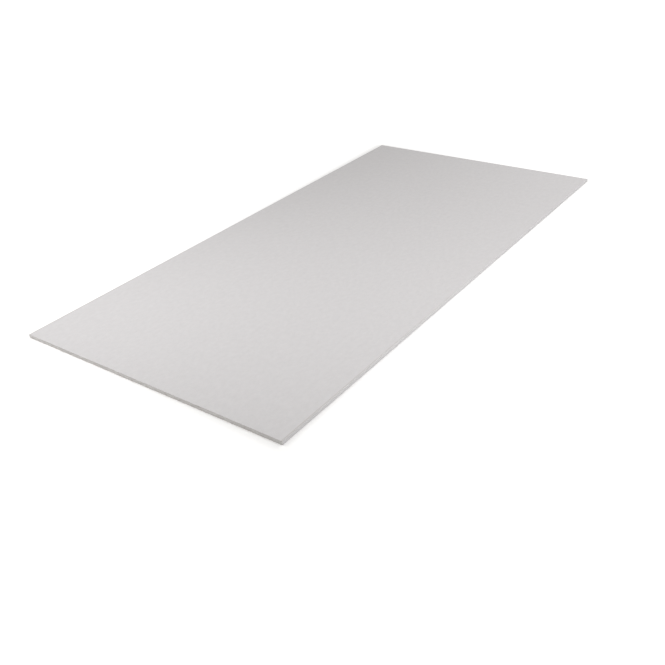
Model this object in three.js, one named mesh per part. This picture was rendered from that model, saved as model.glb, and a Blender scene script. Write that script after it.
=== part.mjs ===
// A full sheet of square-edged gypsum wallboard, lying on its back.
//
// Millimetres. X runs across the width, Y along the length and Z through the thickness. The origin
// is the middle of the back, on the plane that the sheet lies on.
//
// The board is three bonded pieces. The face paper covers the top, turns down over both long edges
// and folds in under them as a flap. The back paper closes the underside over the flaps and stops
// short of the long edges, which leaves a strip of each flap bare. The gypsum core fills the space
// between them and is bare at the two ends, where the sheet was cut to length.

import * as THREE from 'three';

// The board
const boardWidth = 1200;
const boardLength = 2400;
const boardThickness = 15;

// The two papers
const facePaperThickness = 0.35;
const backPaperThickness = 0.3;

// The long edges
const coreArrisRadius = 1.4; // corners of the core that the face paper is folded round
const flapWidth = 30; // from the long edge to the flap's free edge, under the back paper
const bareStripWidth = 6; // from the long edge to the edge of the back paper
const foldSegments = 8; // facets round one fold

const foldRadius = coreArrisRadius + facePaperThickness;

/** Points round one fold of the right-hand edge, a quarter turn clockwise from startAngle. */
function fold(height, radius, startAngle) {
  const centre = boardWidth / 2 - foldRadius;
  const endAngle = startAngle - Math.PI / 2;
  const arc = new THREE.EllipseCurve(centre, height, radius, radius, startAngle, endAngle, true);
  return arc.getPoints(foldSegments);
}

/**
 * A line that follows the face paper all the way round, from the tip of the left flap over the face
 * to the tip of the right flap. It lies at one depth below the paper's outside.
 */
function paperLine(depth) {
  const radius = foldRadius - depth;
  const rightHalf = [
    ...fold(boardThickness - foldRadius, radius, Math.PI / 2),
    ...fold(backPaperThickness + foldRadius, radius, 0),
    new THREE.Vector2(boardWidth / 2 - flapWidth, backPaperThickness + depth),
  ];
  const leftHalf = rightHalf.map((point) => new THREE.Vector2(-point.x, point.y)).reverse();
  return [...leftHalf, ...rightHalf];
}

const paperOutside = paperLine(0);
const paperInside = paperLine(facePaperThickness);

/** A cross-section of the board, drawn as width and height, run along the whole length. */
function runAlongBoard(name, section, material) {
  const geometry = new THREE.ExtrudeGeometry(new THREE.Shape(section), {
    depth: boardLength,
    bevelEnabled: false,
  });
  const mesh = new THREE.Mesh(geometry, material);
  mesh.name = name;
  return mesh;
}

/** Aerated gypsum. Its underside steps up at each long edge by the thickness of the flap there. */
function gypsumCore() {
  const stepAcross = boardWidth / 2 - flapWidth;
  const section = [
    ...paperInside,
    new THREE.Vector2(stepAcross, backPaperThickness),
    new THREE.Vector2(-stepAcross, backPaperThickness),
  ];
  const material = new THREE.MeshStandardMaterial({ color: '#dedcd8', roughness: 0.95, metalness: 0 });
  return runAlongBoard('gypsum_core', section, material);
}

/** Light grey liner board, one piece from flap tip to flap tip. */
function facePaper() {
  const section = [...paperOutside, ...paperInside.toReversed()];
  const material = new THREE.MeshStandardMaterial({ color: '#d6d4d4', roughness: 0.8, metalness: 0 });
  return runAlongBoard('face_paper', section, material);
}

/** Brown liner board, a flat strip glued over the core and over the inner part of both flaps. */
function backPaper() {
  const halfWidth = boardWidth / 2 - bareStripWidth;
  const section = [
    new THREE.Vector2(-halfWidth, 0),
    new THREE.Vector2(halfWidth, 0),
    new THREE.Vector2(halfWidth, backPaperThickness),
    new THREE.Vector2(-halfWidth, backPaperThickness),
  ];
  const material = new THREE.MeshStandardMaterial({ color: '#b69c83', roughness: 0.9, metalness: 0 });
  return runAlongBoard('back_paper', section, material);
}

// The sections are drawn upright at the +Y end and run towards -Y.
const board = new THREE.Group();
board.add(gypsumCore(), facePaper(), backPaper());
board.rotation.x = Math.PI / 2;
board.position.y = boardLength / 2;

const drywallSheet = new THREE.Group();
drywallSheet.add(board);

export default drywallSheet;
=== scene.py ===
import math

import bpy
import numpy as np
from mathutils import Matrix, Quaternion, Vector


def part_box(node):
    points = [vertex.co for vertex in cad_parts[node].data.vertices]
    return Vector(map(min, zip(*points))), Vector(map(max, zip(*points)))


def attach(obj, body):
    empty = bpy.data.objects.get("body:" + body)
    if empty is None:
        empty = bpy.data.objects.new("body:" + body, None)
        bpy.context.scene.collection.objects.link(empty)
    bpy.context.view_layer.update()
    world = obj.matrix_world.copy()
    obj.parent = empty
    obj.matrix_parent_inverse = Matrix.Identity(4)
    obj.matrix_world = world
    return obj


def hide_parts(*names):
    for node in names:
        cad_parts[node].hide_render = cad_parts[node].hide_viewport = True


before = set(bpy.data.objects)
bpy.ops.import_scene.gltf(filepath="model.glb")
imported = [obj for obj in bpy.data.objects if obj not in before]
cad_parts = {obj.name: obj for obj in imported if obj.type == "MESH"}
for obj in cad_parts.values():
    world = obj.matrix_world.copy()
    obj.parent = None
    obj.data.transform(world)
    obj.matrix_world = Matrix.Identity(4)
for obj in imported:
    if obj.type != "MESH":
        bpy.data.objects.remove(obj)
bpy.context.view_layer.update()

# ---------------------------------------------------------------------------------------------
# Face paper. Liner board of several plies of recycled pulp, pale grey outside, pressed smooth
# between rollers. It enters the forming line first, face down, and is creased and folded round
# both long edges of the wet core, so that its free edges lie under the back as two flaps.
# ---------------------------------------------------------------------------------------------

mm = 0.001

paper_low, paper_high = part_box("face_paper")
core_low, core_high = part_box("gypsum_core")
half_width = paper_high.x
half_length = paper_high.y
face_top = paper_high.z
flap_bottom = paper_low.z
paper_thickness = face_top - core_high.z

core_arris_radius = 1.4 * mm
fold_radius = core_arris_radius + paper_thickness
flap_width = 30 * mm

face_steps, fold_steps, side_steps, flap_steps = 300, 8, 6, 8  # across half the board
face_length_steps = 32
even_rows_inset = 10 * mm  # from each end
close_rows = np.array([4, 1.5, 0.5, 0]) * mm  # in from an end, closer and closer to its ragged cut

cut_raggedness = 0.2 * mm  # how far the saw tears the edge of the paper back
shortest_tear, longest_tear = 3 * mm, 14 * mm
cockle_height = 0.1 * mm  # how far the dried paper dips between its high spots
shortest_cockle, longest_cockle = 150 * mm, 600 * mm


def quarter_turn(centre_x, centre_z, radius, start):
    """Points x, z on a quarter of a circle, clockwise from the start angle."""
    angle = start - np.linspace(0, math.pi / 2, fold_steps + 1)
    return np.column_stack([centre_x + radius * np.cos(angle), centre_z + radius * np.sin(angle)])


def wrap_line(depth):
    """
    Points x, z round the board at one depth below the outside of the paper, from the tip of the left
    flap over the face to the tip of the right one. The right half is half the face, a quarter turn
    down, the side, a quarter turn in and the flap. The left half is its mirror image.
    """
    turn_x = half_width - fold_radius
    radius = fold_radius - depth
    upper = quarter_turn(turn_x, face_top - fold_radius, radius, math.pi / 2)
    lower = quarter_turn(turn_x, flap_bottom + fold_radius, radius, 0)
    flap_tip = (half_width - flap_width, flap_bottom + depth)
    face = np.linspace((0, face_top - depth), upper[0], face_steps, endpoint=False)
    side = np.linspace(upper[-1], lower[0], side_steps, endpoint=False)
    flap = np.linspace(lower[-1], flap_tip, flap_steps + 1)
    right = np.vstack([face, upper[:-1], side, lower[:-1], flap])
    left = right[:0:-1] * (-1, 1)
    return np.vstack([left, right])


def distance_along(line):
    """How far along a line of points each of them lies: the running sum of its steps."""
    steps = np.linalg.norm(np.diff(line, axis=0), axis=1)
    return np.concatenate([[0], np.cumsum(steps)])


def rows_along(length_steps):
    """
    Places along the board: even steps until a little before each end and then closer ones, so that
    only the last of them follows a ragged cut.
    """
    even = np.linspace(-1, 1, length_steps + 1) * (half_length - even_rows_inset)
    end = half_length - close_rows
    return np.concatenate([-end[::-1], even, end])


def ripples(u, v, shortest, longest, seed, waves=40):
    """
    Random relief from 0 to 1 at points u, v in metres: the sum of many cosine waves with random
    headings and phases, whose wavelengths lie between the shortest and the longest.
    """
    draw = np.random.default_rng(seed)
    wave_number = 2 * math.pi / (shortest * (longest / shortest) ** draw.random(waves))
    heading, phase = 2 * math.pi * draw.random((2, waves))
    along_u = np.multiply.outer(u, wave_number * np.cos(heading))
    along_v = np.multiply.outer(v, wave_number * np.sin(heading))
    height = np.cos(along_u + along_v + phase).sum(-1) / math.sqrt(waves / 2)
    return (0.5 + 0.25 * height).clip(0, 1)


def torn_back(places, seed):
    """How far the saw tore the paper back at places along a cut: ripples of the tears' lengths."""
    return cut_raggedness * ripples(places, np.zeros_like(places), shortest_tear, longest_tear, seed)


def stretch_along(line, rows, near_cut, far_cut):
    """A line of x, z repeated at each place along the board, its first and last rows cut back."""
    sheet = np.empty((len(rows), len(line), 3))
    sheet[..., 0] = line[:, 0]
    sheet[..., 1] = rows[:, None]
    sheet[..., 2] = line[:, 1]
    sheet[0, :, 1] += near_cut
    sheet[-1, :, 1] -= far_cut
    return sheet


def joined_rings(rings):
    """Four-sided faces between rings of point numbers, from each ring's points to the next ring's."""
    ahead = np.roll(rings, -1, axis=1)
    return np.stack([rings[:-1], ahead[:-1], ahead[1:], rings[1:]], axis=-1).reshape(-1, 4)


def band_solid(outside, inside):
    """
    Points and four-sided faces of the closed solid between two sheets of points, each an array of
    rows by points by x, y, z. Each row's two lines are joined into one ring, the rings are joined
    along the board, and the band is closed at its first and last row.
    """
    rows, count = outside.shape[:2]
    points = np.concatenate([outside, inside[:, ::-1]], axis=1).reshape(-1, 3)
    rings = np.arange(len(points)).reshape(rows, 2 * count)
    out, back = rings[:, :count], rings[:, :count - 1:-1]
    caps = np.stack([out[:, :-1], out[:, 1:], back[:, 1:], back[:, :-1]], axis=-1)
    return points, joined_rings(rings), np.vstack([caps[0, :, ::-1], caps[-1]])


def cell_corners(left, right, low, high):
    """Places u, v of the corners of each cell of a grid, in the order of its face's points."""
    corners = np.broadcast_arrays(left, low, right, low, right, high, left, high)
    return np.stack(corners, axis=-1).reshape(-1, 2)


outside_share = 0.9  # of the texture's width, because the inside of a band is hidden
seam_width = 0.005  # of the texture's width, for the paper's two free edges
skin_share = 0.97  # of the texture's height, below the strips for the cut ends
near_strip, far_strip, strip_height = 0.975, 0.99, 0.008  # where the two strips start, and their height


def band_map(line, rows):
    """
    Places u, v on the texture for the faces of a band solid, in their order. The outside is rolled out
    flat, across by its length round the board and up by its place along it, and the inside lies
    beside it. The two cut ends are strips above them.
    """
    place = distance_along(line) / distance_along(line)[-1]
    inside_start = outside_share + seam_width
    inside_place = inside_start + (1 - seam_width - inside_start) * (1 - place[::-1])
    across = np.concatenate([outside_share * place, inside_place, [1]])
    along = skin_share * (rows - rows[0]) / (rows[-1] - rows[0])
    skin = cell_corners(across[:-1], across[1:], along[:-1, None], along[1:, None])
    strip = cell_corners(place[:-1], place[1:], 0, strip_height)
    return np.vstack([skin, strip + (0, near_strip), strip + (0, far_strip)])


crease_angle = math.radians(30)  # faces that meet at more than this keep a sharp edge


def add_piece(name, points, face_groups, materials, texture_places):
    """
    A mesh object in which each group of faces wears its own material, smooth up to the crease angle.
    texture_places has u, v for each corner of each face, in the map that finishes are baked through.
    """
    mesh = bpy.data.meshes.new(name)
    mesh.from_pydata(points.tolist(), [], np.vstack(face_groups).tolist())
    slots = np.repeat(np.arange(len(face_groups)), [len(group) for group in face_groups])
    for material in materials:
        mesh.materials.append(material)
    mesh.polygons.foreach_set("material_index", slots.astype(np.int32))
    mesh.uv_layers.new(name="OFBake").uv.foreach_set("vector", texture_places.astype(np.float32).ravel())
    mesh.shade_smooth()
    mesh.set_sharp_from_angle(angle=crease_angle)
    mesh.update()
    piece = bpy.data.objects.new(name, mesh)
    bpy.context.scene.collection.objects.link(piece)
    return piece


def colour(hex_code):
    """An sRGB hex colour as linear red, green, blue and alpha."""
    levels = [int(hex_code[i:i + 2], 16) / 255 for i in (1, 3, 5)]
    curve = [v / 12.92 if v <= 0.04045 else ((v + 0.055) / 1.055) ** 2.4 for v in levels]
    return (*curve, 1)


def new_material(name):
    """An empty node material, with its tree."""
    material = bpy.data.materials.new(name)
    material.use_nodes = True
    material.node_tree.nodes.clear()
    return material, material.node_tree


def add_node(tree, kind, inputs, **settings):
    """
    One node, by its kind's name after ShaderNode. settings are its own properties, and inputs maps a
    socket to its value or to the socket that feeds it. Returns the node's outputs. A Mix of colours
    has its factor and its two colours at inputs 0, 6 and 7, and their mix at output 2.
    """
    node = tree.nodes.new("ShaderNode" + kind)
    for name, value in settings.items():
        setattr(node, name, value)
    for socket, value in inputs.items():
        if isinstance(value, bpy.types.NodeSocket):
            tree.links.new(value, node.inputs[socket])
        else:
            node.inputs[socket].default_value = value
    return node.outputs


def finish_material(tree, base, roughness, bumps):
    """
    The shader, with its bumps one over another. Each bump is a socket with its relief and the metres
    that a relief of 1 stands for.
    """
    normal = None
    for relief, height in bumps:
        inputs = {"Height": relief, "Distance": height, "Strength": 1}
        if normal is not None:
            inputs["Normal"] = normal
        normal = add_node(tree, "Bump", inputs)["Normal"]
    shader = add_node(tree, "BsdfPrincipled", {
        "Base Color": base, "Roughness": roughness, "IOR": 1.5, "Normal": normal})
    add_node(tree, "OutputMaterial", {"Surface": shader["BSDF"]})


noise_low, noise_high = 0.3, 0.7  # nearly all of a noise lies between them
cloud_size = 16 * mm  # clumps of pulp in the web
cloud_stretch = 5 / 3  # they are this much longer than wide, drawn out by the machine
tooth_size = 1.5 * mm  # the grain of the sheet, drawn three times as coarse as it is, so that it shows
hair_bend = 5 * mm  # how soon a loose fibre turns
hair_band = 0.007  # how near one half the noise is in a hair, which makes it about 0.1 mm wide
hair_patch = hair_bend / 1.4  # size of the spots with hairs and of those without
bare_of_hairs = 0.55  # a second noise up to this leaves no hair
fleck_spacing = 13 * mm  # between dark specks of old paper
fleck_middle, fleck_rim = 0.26 * mm, 0.65 * mm  # from its centre to where it starts and ends fading


def liner_board(name, darker, paler, hair_tone, fleck_tone, rough, smooth):
    """
    Liner board: pulp laid down as a cloudy web, a little drawn out along the length. The rollers press
    its thick, paler clumps harder than the thin places between them, so its roughness runs from smooth
    in the clumps to rough between them. Loose fibres lie on it as fine curved hairs: the places where
    a noise is about one half, broken up by a second noise. Specks of old paper are the middles of
    random cells.
    """
    material, tree = new_material(name)
    place = add_node(tree, "TexCoord", {})["Object"]
    drawn_out = add_node(tree, "Mapping", {"Vector": place, "Scale": (1, 1 / cloud_stretch, 1)})["Vector"]
    cloud = add_node(tree, "TexNoise", {
        "Vector": drawn_out, "Scale": 1 / cloud_size, "Detail": 6, "Roughness": 0.6})["Fac"]
    cloud = add_node(tree, "MapRange", {
        "Value": cloud, "From Min": noise_low, "From Max": noise_high})["Result"]
    base = add_node(tree, "Mix", {0: cloud, 6: colour(darker), 7: colour(paler)}, data_type="RGBA")[2]
    roughness = add_node(tree, "MapRange", {"Value": cloud, "To Min": rough, "To Max": smooth})["Result"]

    web = add_node(tree, "TexNoise", {"Vector": place, "Scale": 1 / hair_bend, "Detail": 1})["Fac"]
    hair = add_node(tree, "Math", {0: web, 1: 0.5, 2: hair_band}, operation="COMPARE")["Value"]
    patch = add_node(tree, "TexNoise", {"Vector": place, "Scale": 1 / hair_patch, "Detail": 0})["Fac"]
    patch = add_node(tree, "Math", {0: patch, 1: bare_of_hairs}, operation="GREATER_THAN")["Value"]
    hair = add_node(tree, "Math", {0: hair, 1: patch}, operation="MULTIPLY")["Value"]
    base = add_node(tree, "Mix", {0: hair, 6: base, 7: colour(hair_tone)}, data_type="RGBA")[2]

    fleck = add_node(tree, "TexVoronoi", {"Vector": drawn_out, "Scale": 1 / fleck_spacing})["Distance"]
    fleck = add_node(tree, "MapRange", {
        "Value": fleck, "From Min": fleck_middle / fleck_spacing, "From Max": fleck_rim / fleck_spacing,
        "To Min": 1, "To Max": 0})["Result"]
    base = add_node(tree, "Mix", {0: fleck, 6: base, 7: colour(fleck_tone)}, data_type="RGBA")[2]
    return material, tree, place, base, hair, roughness


shade_band_start, shade_band_full = 8 * mm, 3 * mm  # in from a long edge, where its painted shade starts and is full
shade_band_end = 0.1 * half_length  # along the board, where that painted shade has faded away
shade_band_polish = 0.08  # how much less rough the paper is in that band
turn_start, turn_full = 1.5 * mm, 0.6 * mm  # in from a long edge, where the face gives way to the side and the side's painted paler tone starts and is full
pucker_size = 60 * mm  # finer cockles, too low to see but in the sheen
pucker_height, tooth_height, hair_height = 0.3 * mm, 0.03 * mm, 0.02 * mm

# White-grey test liner, calendered: a smooth, matt sheet in which only the cloudy web of the pulp and
# a few fibres show. Beside the near half of its long edges it is a little smoother and darkened by
# painted shade, and the folded sides are painted a little paler, as painted light.
face_liner, tree, place, base, hair, roughness = liner_board(
    "pale grey liner board, pressed smooth",
    darker="#d0cecf", paler="#d5d3d4", hair_tone="#c9c6c6", fleck_tone="#b5b0ad", rough=0.75, smooth=0.61)
axes = add_node(tree, "SeparateXYZ", {"Vector": place})
from_middle = add_node(tree, "Math", {0: axes["X"]}, operation="ABSOLUTE")["Value"]
# Painted shade: beside the near half of the long edges the face is darkened towards #c3c0be, fading along
# the board, and made a little smoother.
painted_edge_shade = add_node(tree, "MapRange", {
    "Value": from_middle, "From Min": half_width - shade_band_start, "From Max": half_width - shade_band_full},
    interpolation_type="SMOOTHSTEP")["Result"]
shade_fade_along = add_node(tree, "MapRange", {
    "Value": axes["Y"], "From Min": -half_length, "From Max": shade_band_end,
    "To Min": 1, "To Max": 0})["Result"]
painted_edge_shade = add_node(tree, "Math", {0: painted_edge_shade, 1: shade_fade_along}, operation="MULTIPLY")["Value"]
base = add_node(tree, "Mix", {0: painted_edge_shade, 6: base, 7: colour("#c3c0be")}, data_type="RGBA")[2]
roughness = add_node(tree, "Math", {0: painted_edge_shade, 1: -shade_band_polish, 2: roughness},
                     operation="MULTIPLY_ADD")["Value"]
# Painted light: the folded sides are painted a little paler, towards #d9d7d8.
painted_side_light = add_node(tree, "MapRange", {
    "Value": from_middle, "From Min": half_width - turn_start, "From Max": half_width - turn_full},
    interpolation_type="SMOOTHSTEP")["Result"]
base = add_node(tree, "Mix", {0: painted_side_light, 6: base, 7: colour("#d9d7d8")}, data_type="RGBA")[2]
tooth = add_node(tree, "TexNoise", {"Vector": place, "Scale": 1 / tooth_size, "Detail": 2})["Fac"]
pucker = add_node(tree, "TexNoise", {"Vector": place, "Scale": 1 / pucker_size, "Detail": 2})["Fac"]
finish_material(tree, base, roughness, [
    (pucker, pucker_height), (tooth, tooth_height), (hair, hair_height)])

ply_fibre_size, ply_fibre_height = 1.2 * mm, 0.1 * mm

# The plies seen on edge, where the sheet was cut: bare pulp, browner and duller than either skin, so
# that each paper draws a thin dark line along the white core. Its loose dark fibres are the roughest.
cut_plies, tree = new_material("grey-brown pulp plies, cut through")
place = add_node(tree, "TexCoord", {})["Object"]
fibre = add_node(tree, "TexNoise", {"Vector": place, "Scale": 1 / ply_fibre_size, "Detail": 4})["Fac"]
tone = add_node(tree, "MapRange", {
    "Value": fibre, "From Min": noise_low, "From Max": noise_high})["Result"]
base = add_node(tree, "Mix", {0: tone, 6: colour("#a59a8d"), 7: colour("#bdb3a8")}, data_type="RGBA")[2]
roughness = add_node(tree, "MapRange", {"Value": tone, "To Min": 0.95, "To Max": 0.85})["Result"]
finish_material(tree, base, roughness, [(fibre, ply_fibre_height)])

outside_line, inside_line = wrap_line(0), wrap_line(paper_thickness)
round_board = distance_along(outside_line)
face_rows = rows_along(face_length_steps)
near_cut, far_cut = torn_back(round_board, seed=11), torn_back(round_board, seed=12)
outside = stretch_along(outside_line, face_rows, near_cut, far_cut)
inside = stretch_along(inside_line, face_rows, near_cut, far_cut)
dip = cockle_height * ripples(*np.broadcast_arrays(round_board, face_rows[:, None]),
                              shortest_cockle, longest_cockle, seed=13)
outward = (outside_line - inside_line) / paper_thickness
outside[..., 0] -= dip * outward[:, 0]
outside[..., 2] -= dip * outward[:, 1]

points, skin, cut_edges = band_solid(outside, inside)
face_wrap = add_piece("face_liner", points, [skin, cut_edges], [face_liner, cut_plies],
                      band_map(outside_line, face_rows))
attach(face_wrap, "root")
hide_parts("face_paper")

# ---------------------------------------------------------------------------------------------
# Gypsum core. Plaster foamed with air, poured between the papers and set hard, so it takes their
# inner form. Only its two ends show, where the sheet was sawn to length: chalky, matt and pitted
# with the bubbles that the saw opened.
# ---------------------------------------------------------------------------------------------

core_side = core_high.x
core_top = core_high.z
core_bottom = core_low.z
flap_seat = flap_bottom + paper_thickness
flap_step = 1 * mm  # over which the core's underside rises beside a flap's edge
saw_recess = 0.25 * mm  # crumbs lost between the two papers
grain_depth = 0.12 * mm
shortest_grain, longest_grain = 1.8 * mm, 8 * mm
smallest_bubble, largest_bubble = 0.4 * mm, 1.2 * mm  # radius, drawn about twice life size to show
bubble_bias = 5  # the higher it is, the fewer of the bubbles are large
bubble_count = 2600
dense_skin = 1 * mm  # the plaster next to the papers sets denser, with no bubble's middle in it
bubble_groups = 100
pit_openness = 0.6  # how much of a bubble's depth the saw's dust leaves open
column_steps, layer_steps, corner_steps = 2000, 20, 6
hoop_inset = 6 * mm  # from each end to the first hoop of points round the sides


def core_section():
    """
    Places x, z over the core's cross-section, in columns from side to side and even layers from
    underside to top. Between the corners the columns are even. Round each corner they follow a quarter
    circle, and beside each flap's edge the underside rises by the thickness of the flap.
    """
    corner_angle = np.linspace(0, math.pi / 2, corner_steps, endpoint=False)
    corner_x = core_side - core_arris_radius * (1 - np.cos(corner_angle))
    middle = np.linspace(-1, 1, column_steps + 1) * (core_side - core_arris_radius)
    across = np.concatenate([-corner_x, middle, corner_x[::-1]])
    into_corner = (np.abs(across) - (core_side - core_arris_radius)).clip(0) / core_arris_radius
    drop = core_arris_radius * (1 - np.sqrt(1 - into_corner.clip(0, 1) ** 2))
    over_flap = ((np.abs(across) - (half_width - flap_width)) / flap_step).clip(0, 1)
    underside = core_bottom + (flap_seat - core_bottom) * over_flap + drop
    layer = np.linspace(0, 1, layer_steps + 1)
    x = np.repeat(across[:, None], len(layer), axis=1)
    z = underside[:, None] + (core_top - drop - underside)[:, None] * layer
    return x, z


def opened_bubbles(x, z, seed):
    """
    Depth of the pits at points x, z of a sawn face. Each pit is the part of a sphere that the cut
    opened, most of them small, and where two overlap the deeper one counts. The bubbles are taken in
    groups of neighbours, each of them only at the columns in its reach.
    """
    draw = np.random.default_rng(seed)
    centre_x = np.sort(draw.uniform(-core_side, core_side, bubble_count))
    centre_z = draw.uniform(core_bottom + dense_skin, core_top - dense_skin, bubble_count)
    radius = smallest_bubble + (largest_bubble - smallest_bubble) * draw.random(bubble_count) ** bubble_bias
    depth = np.zeros(x.shape)
    for group in np.array_split(np.arange(bubble_count), bubble_groups):
        reach = (centre_x[group[0]] - largest_bubble, centre_x[group[-1]] + largest_bubble)
        near = (x[:, 0] > reach[0]) & (x[:, 0] < reach[1])
        off_x = x[near, :, None] - centre_x[group]
        off_z = z[near, :, None] - centre_z[group]
        pit = np.sqrt((radius[group] ** 2 - off_x ** 2 - off_z ** 2).clip(0)).max(-1)
        depth[near] = np.maximum(depth[near], pit)
    return depth


def sawn_end(x, z, facing, seed):
    """
    Points of the end that faces -1 or 1 along the board, and the depth of its pits. It lies behind
    the cut papers by the crumbs lost, the grain of the plaster and the pits.
    """
    grain = grain_depth * ripples(x, z, shortest_grain, longest_grain, seed, waves=60)
    pits = opened_bubbles(x, z, seed + 10)
    recess = saw_recess + grain + pit_openness * pits
    return np.stack([x, facing * (half_length - recess), z], axis=-1), pits


def solid_between(near_end, far_end, hoop_places):
    """
    Points and four-sided faces of the closed solid between two ends, each a grid of points. The cells
    of the grids are the end faces. Their outlines are joined along the board through a hoop of points
    at each hoop place.
    """
    columns, layers = near_end.shape[:2]
    cell = np.arange(columns * layers).reshape(columns, layers)
    corners = [cell[:-1, :-1], cell[1:, :-1], cell[1:, 1:], cell[:-1, 1:]]
    near_faces = np.stack(corners, axis=-1).reshape(-1, 4)
    far_faces = near_faces[:, ::-1] + cell.size
    outline = np.concatenate([cell[:, -1], cell[-1, -2::-1], cell[-2::-1, 0], cell[0, 1:-1]])
    hoops = np.repeat(near_end.reshape(-1, 3)[None, outline], len(hoop_places), axis=0)
    hoops[..., 1] = hoop_places[:, None]
    rings = 2 * cell.size + np.arange(len(hoop_places) * len(outline)).reshape(len(hoop_places), -1)
    sides = joined_rings(np.vstack([outline, rings, outline + cell.size]))
    points = np.vstack([end.reshape(-1, 3) for end in (near_end, far_end, hoops)])
    return points, np.vstack([near_faces, far_faces, sides])


section_x, section_z = core_section()
near_end, near_pits = sawn_end(section_x, section_z, -1, seed=21)
far_end, far_pits = sawn_end(section_x, section_z, 1, seed=22)
hoop_places = np.array([-1, 0, 1]) * (half_length - hoop_inset)
points, faces = solid_between(near_end, far_end, hoop_places)

strips_per_end = 6
ends_share = 0.94  # of the texture's height, because the core's sides are hidden
sides_start = 0.95
strip_margin = 0.03  # of a strip's height, above and below it
strip_inset = 0.004  # of the texture's width, at both ends of a strip


def strip_map(columns, layers, bands):
    """
    Places u, v on the texture for the core's faces, in their order. Each sawn end, of columns by
    layers of cells, is cut across into equal strips, which lie one above the other over most of the
    texture, those of the far end mirrored as its faces are. The bands of hidden faces round the sides
    share the rest.
    """
    pitch = ends_share / (2 * strips_per_end)
    cell_width = (1 - 2 * strip_inset) * strips_per_end / columns
    cell_height = (1 - 2 * strip_margin) * pitch / layers
    place = np.arange(columns)[:, None] * strips_per_end / columns
    strip = np.floor(place)
    left = strip_inset + (1 - 2 * strip_inset) * (place - strip)
    low = pitch * (strip + strip_margin) + cell_height * np.arange(layers)
    near = cell_corners(left, left + cell_width, low, low + cell_height)
    far = near.reshape(-1, 4, 2)[:, ::-1].reshape(-1, 2) * (-1, 1) + (1, pitch * strips_per_end)
    around = 2 * (columns + layers)
    step = np.arange(around) / around
    band = sides_start + (1 - sides_start) * np.arange(bands)[:, None] / bands
    sides = cell_corners(step, step + 1 / around, band, band + (1 - sides_start) / bands)
    return np.vstack([near, far, sides])


batch_size = 30 * mm  # of the paler and darker spots left by uneven mixing
chalk_size, chalk_height = 0.9 * mm, 0.15 * mm
bubble_spacing, bubble_depth = 1.4 * mm, 0.24 * mm  # of the small bubbles
bubble_middle, bubble_rim = 0.21 * mm, 0.49 * mm  # from its centre to where it starts and ends fading
bubble_tint = 0.3  # how far its middle is darkened towards the darker tone, as painted shade in the dent

# Stucco plaster set round millions of air bubbles: dull, chalky and nearly white, and a little paler
# and smoother where it set denser. The larger bubbles are pits in the mesh, darkened inside by painted
# shade that deepens with the pit, and the small ones are drawn as a bump, with painted shade in their
# middles.
gypsum, tree = new_material("foamed gypsum plaster, sawn")
place = add_node(tree, "TexCoord", {})["Object"]
batch = add_node(tree, "TexNoise", {
    "Vector": place, "Scale": 1 / batch_size, "Detail": 8, "Roughness": 0.7})["Fac"]
batch = add_node(tree, "MapRange", {
    "Value": batch, "From Min": noise_low, "From Max": noise_high})["Result"]
base = add_node(tree, "Mix", {0: batch, 6: colour("#d8d4d3"), 7: colour("#e8e7e5")}, data_type="RGBA")[2]
foam = add_node(tree, "TexVoronoi", {"Vector": place, "Scale": 1 / bubble_spacing})["Distance"]
foam = add_node(tree, "MapRange", {
    "Value": foam, "From Min": bubble_middle / bubble_spacing, "From Max": bubble_rim / bubble_spacing,
    "To Min": bubble_tint, "To Max": 0})["Result"]
# Painted shade: the middle of each small bubble is darkened towards #bab4b0.
base = add_node(tree, "Mix", {0: foam, 6: base, 7: colour("#bab4b0")}, data_type="RGBA")[2]
# Painted shade: the deeper a pit, the darker it is painted, towards #cdc8c5.
pit = add_node(tree, "Attribute", {}, attribute_name="pit_depth")["Fac"]
base = add_node(tree, "Mix", {0: pit, 6: base, 7: colour("#cdc8c5")}, data_type="RGBA")[2]
chalk = add_node(tree, "TexNoise", {"Vector": place, "Scale": 1 / chalk_size, "Detail": 5})["Fac"]
sunk = add_node(tree, "Math", {0: foam, 1: -1}, operation="MULTIPLY")["Value"]
roughness = add_node(tree, "MapRange", {"Value": batch, "To Min": 1, "To Max": 0.9})["Result"]
finish_material(tree, base, roughness, [(chalk, chalk_height), (sunk, bubble_depth / bubble_tint)])

core = add_piece("foamed_core", points, [faces], [gypsum],
                 strip_map(len(section_x) - 1, layer_steps, len(hoop_places) + 1))
pits = np.concatenate([near_pits.ravel(), far_pits.ravel()]) / largest_bubble
pit_depth = np.zeros(len(points), np.float32)
pit_depth[:len(pits)] = pits
core.data.attributes.new("pit_depth", "FLOAT", "POINT").data.foreach_set("value", pit_depth)
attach(core, "root")
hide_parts("gypsum_core")

# ---------------------------------------------------------------------------------------------
# Back paper. Unbleached brown liner board, laid over the wet core and the flaps as the last layer
# and glued to both. It is a little narrower than the board, so it leaves a strip of each flap bare.
# ---------------------------------------------------------------------------------------------

back_low, back_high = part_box("back_paper")
back_steps, back_length_steps = 600, 8
rough_tooth_height, rough_hair_height = 0.05 * mm, 0.03 * mm

# Unbleached recycled fibre, left as it comes off the rollers: warm light brown and without sheen,
# rougher than the face and with darker hairs and specks in it.
back_liner, tree, place, base, hair, roughness = liner_board(
    "unbleached brown liner board",
    darker="#bea98f", paler="#c8b59d", hair_tone="#ae9477", fleck_tone="#8d7256", rough=0.92, smooth=0.78)
tooth = add_node(tree, "TexNoise", {"Vector": place, "Scale": 1 / tooth_size, "Detail": 4})["Fac"]
finish_material(tree, base, roughness, [(tooth, rough_tooth_height), (hair, rough_hair_height)])

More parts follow.
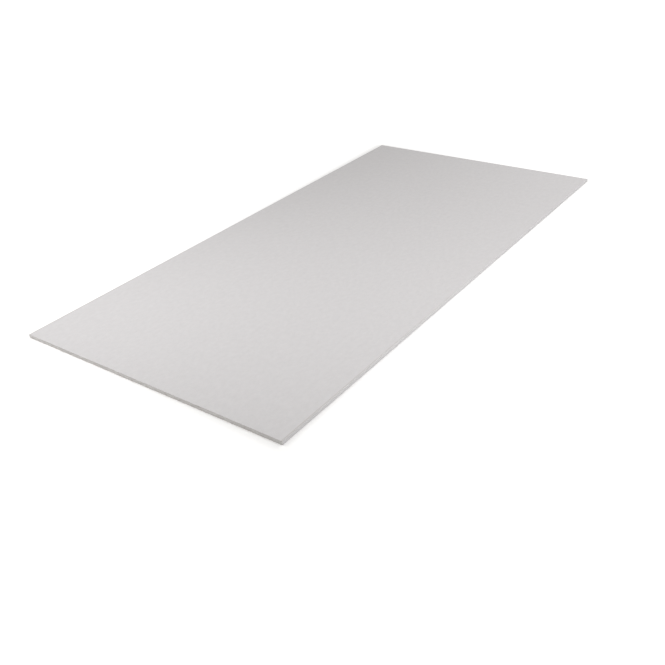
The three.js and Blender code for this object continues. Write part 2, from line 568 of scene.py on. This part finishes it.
back_x = np.linspace(back_high.x, back_low.x, back_steps + 1)
under_line = np.column_stack([back_x, np.full_like(back_x, back_low.z)])
over_line = np.column_stack([back_x, np.full_like(back_x, back_high.z)])
back_rows = rows_along(back_length_steps)
near_cut, far_cut = torn_back(back_x, seed=31), torn_back(back_x, seed=32)
points, skin, cut_edges = band_solid(stretch_along(under_line, back_rows, near_cut, far_cut),
                                     stretch_along(over_line, back_rows, near_cut, far_cut))
back_sheet = add_piece("back_liner", points, [skin, cut_edges], [back_liner, cut_plies],
                       band_map(under_line, back_rows))
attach(back_sheet, "root")
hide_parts("back_paper")

# ---------------------------------------------------------------------------------------------
# Studio. A white floor that runs into a white background, three softboxes in a dim room and the
# camera. The camera, and any gloss or glass, sees floor and room as white paper, but for the floor
# close to the board, which stays matt and keeps its shadow.
# ---------------------------------------------------------------------------------------------

floor_reach = 30.0
shadow_reach = 0.02  # how far from the board the floor stays matt
white_reach = 0.15  # how far from it the floor is white paper
glow_in_shadow = 0.17  # of the glow that makes the floor white, next to the board
room_light = 0.335  # of the brightness of white paper

floor_mesh = bpy.data.meshes.new("floor")
corners = np.array([(-1, -1, 0), (1, -1, 0), (1, 1, 0), (-1, 1, 0)]) * floor_reach
floor_mesh.from_pydata(corners.tolist(), [], [(0, 1, 2, 3)])
floor = bpy.data.objects.new("floor", floor_mesh)
bpy.context.scene.collection.objects.link(floor)


def seen_as_background(tree):
    """1 where the camera, a gloss or a clear material looks, and 0 for the light that falls on things."""
    ray = add_node(tree, "LightPath", {})
    seen = add_node(tree, "Math", {0: ray["Is Camera Ray"], 1: ray["Is Glossy Ray"]},
                    operation="MAXIMUM")["Value"]
    return add_node(tree, "Math", {0: seen, 1: ray["Is Transmission Ray"]}, operation="MAXIMUM")["Value"]


# Matt white paper. Its glow lights nothing. It only brings the floor up to white where it is seen, by
# how far from the board's outline it lies.
white_floor, tree = new_material("matt white studio floor")
matt = add_node(tree, "BsdfDiffuse", {"Color": colour("#fbfbfb")})["BSDF"]
place = add_node(tree, "TexCoord", {})["Object"]
folded = add_node(tree, "VectorMath", {0: place}, operation="ABSOLUTE")["Vector"]
beyond = add_node(tree, "VectorMath", {0: folded, 1: (half_width, half_length, 0)},
                  operation="SUBTRACT")["Vector"]
beyond = add_node(tree, "VectorMath", {0: beyond, 1: (0, 0, 0)}, operation="MAXIMUM")["Vector"]
from_board = add_node(tree, "VectorMath", {0: beyond}, operation="LENGTH")["Value"]
whiteness = add_node(tree, "MapRange", {
    "Value": from_board, "From Min": shadow_reach, "From Max": white_reach,
    "To Min": glow_in_shadow, "To Max": 1}, interpolation_type="SMOOTHSTEP")["Result"]
strength = add_node(tree, "Math", {0: whiteness, 1: seen_as_background(tree)},
                    operation="MULTIPLY")["Value"]
glow = add_node(tree, "Emission", {"Color": colour("#ffffff"), "Strength": strength})["Emission"]
lit_floor = add_node(tree, "AddShader", {0: matt, 1: glow})["Shader"]
add_node(tree, "OutputMaterial", {"Surface": lit_floor})
floor_mesh.materials.append(white_floor)

# A dim room with a faint warm tint, which fills the shadows. Where it is seen, it is white paper.
room = bpy.data.worlds.new("white room")
bpy.context.scene.world = room
room.use_nodes = True
tree = room.node_tree
tree.nodes.clear()
seen = seen_as_background(tree)
strength = add_node(tree, "MapRange", {"Value": seen, "To Min": room_light, "To Max": 1})["Result"]
tint = add_node(tree, "Mix", {0: seen, 6: colour("#fffdf9"), 7: colour("#ffffff")}, data_type="RGBA")[2]
walls = add_node(tree, "Background", {"Color": tint, "Strength": strength})["Background"]
add_node(tree, "OutputWorld", {"Surface": walls})


softbox_size = 1.5


def add_softbox(name, place, power):
    """A square area lamp of power in watts that faces the middle of the board and isn't seen itself."""
    lamp = bpy.data.lights.new(name, "AREA")
    lamp.size = softbox_size
    lamp.energy = power
    softbox = bpy.data.objects.new(name, lamp)
    softbox.location = place
    softbox.rotation_mode = "QUATERNION"
    softbox.rotation_quaternion = (-Vector(place)).to_track_quat("-Z", "Y")
    softbox.visible_camera = False
    bpy.context.scene.collection.objects.link(softbox)


# All three light the face. The first also lights the right side, the second the near end and the third
# the far end.
add_softbox("right softbox", (1.45, -0.30, 1.34), 12)
add_softbox("front left softbox", (-0.76, -1.16, 1.44), 18)
add_softbox("back right softbox", (1.18, 2.34, 1.92), 30)

# In front of the near right corner, 1.5 m up, looking down across the board.
camera_place = Vector((1.8867, -2.5903, 1.5007))
camera_aim = Vector((0.3665, -0.6242, 0.015))
camera_roll = math.radians(-3.896)
camera_data = bpy.data.cameras.new("camera")
camera_data.sensor_width = 36
camera_data.lens = 44.23
camera = bpy.data.objects.new("camera", camera_data)
camera.location = camera_place
camera.rotation_mode = "QUATERNION"
camera.rotation_quaternion = (
    (camera_aim - camera_place).to_track_quat("-Z", "Y") @ Quaternion((0, 0, 1), camera_roll))
bpy.context.scene.collection.objects.link(camera)
bpy.context.scene.camera = camera
bpy.context.scene.view_settings.view_transform = "Standard"
